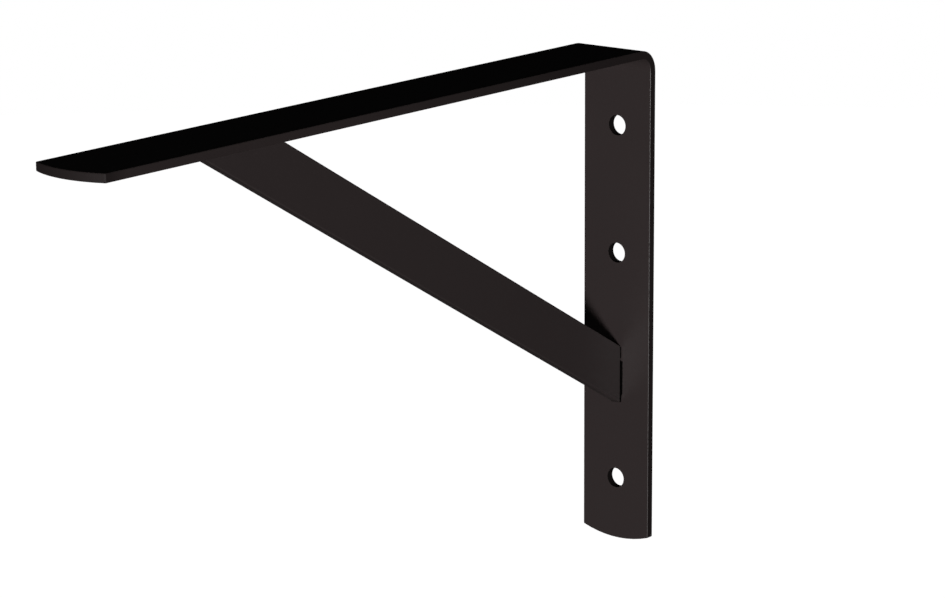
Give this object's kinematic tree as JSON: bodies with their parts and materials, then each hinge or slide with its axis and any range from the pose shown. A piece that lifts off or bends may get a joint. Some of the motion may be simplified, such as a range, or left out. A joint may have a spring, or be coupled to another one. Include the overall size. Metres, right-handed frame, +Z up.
{
  "type": "shelf bracket",
  "caption": "Painted steel shelf bracket: a flat bar folded into a wall leg with plain screw holes and a longer shelf arm, joined by a welded diagonal flat brace.",
  "frame": {"origin": "centre of the top screw hole, in the wall plane", "axes": "+X out from the wall along the shelf arm, +Z up, Y across the bar"},
  "size_m": [0.3, 0.032, 0.2],
  "materials": {
    "black_paint": "smooth satin to semi-gloss black paint over steel"
  },
  "bodies": {
    "root": {"bent_bar": "black_paint", "brace": "black_paint", "leg_weld": "black_paint", "arm_weld": "black_paint"}
  },
  "joints": []
}
